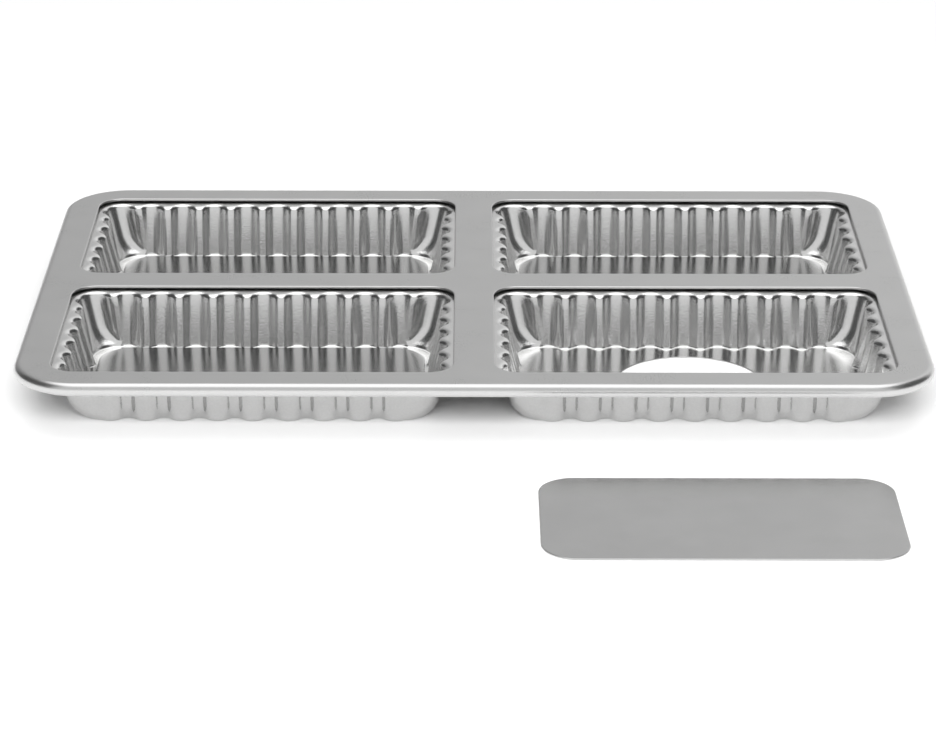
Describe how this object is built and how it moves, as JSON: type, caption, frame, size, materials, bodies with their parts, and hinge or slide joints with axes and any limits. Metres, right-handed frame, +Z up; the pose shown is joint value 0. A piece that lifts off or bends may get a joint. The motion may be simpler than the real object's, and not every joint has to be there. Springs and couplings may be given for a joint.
{
  "type": "tart pan",
  "caption": "Rectangular baking pan with fluted cups seamed into a wired frame plate and flat loose bottoms that push up out of the cups.",
  "frame": {"origin": "middle of the footprint of the pan and its laid-out loose bottom together, on the table", "axes": "+X along the pan's long side to the viewer's right, +Y to the rear, +Z up out of the cups"},
  "size_m": [0.36, 0.3486, 0.024],
  "materials": {
    "tinned_plate": "satin bright tinned steel, fine matte grain",
    "tinned_cup": "bright drawn tinned steel with a fine orange-peel grain",
    "loose_sheet": "matte fine-grained sheet",
    "wire": "drawn steel wire, hidden in the rim"
  },
  "bodies": {
    "pan": {"frame_plate": "tinned_plate", "rim_wire": "wire", "cup_rear_left": "tinned_cup", "cup_rear_right": "tinned_cup", "cup_front_left": "tinned_cup", "cup_front_right": "tinned_cup"},
    "bottom_rear_left": {"loose_bottom_rear_left": "loose_sheet"},
    "bottom_rear_right": {"loose_bottom_rear_right": "loose_sheet"},
    "bottom_front_left": {"loose_bottom_front_left": "loose_sheet"},
    "bottom_front_right": {"loose_bottom_front_right": "loose_sheet"}
  },
  "joints": [
    {"name": "lift_rear_left", "type": "slide", "parent": "pan", "child": "bottom_rear_left", "axis": [0, 0, 1], "range_m": [0, 0.05]},
    {"name": "lift_rear_right", "type": "slide", "parent": "pan", "child": "bottom_rear_right", "axis": [0, 0, 1], "range_m": [0, 0.05]},
    {"name": "lift_front_left", "type": "slide", "parent": "pan", "child": "bottom_front_left", "axis": [0, 0, 1], "range_m": [0, 0.05]},
    {"name": "lift_front_right", "type": "slide", "parent": "pan", "child": "bottom_front_right", "axis": [0, 0, 1], "range_m": [0, 0.05]}
  ]
}
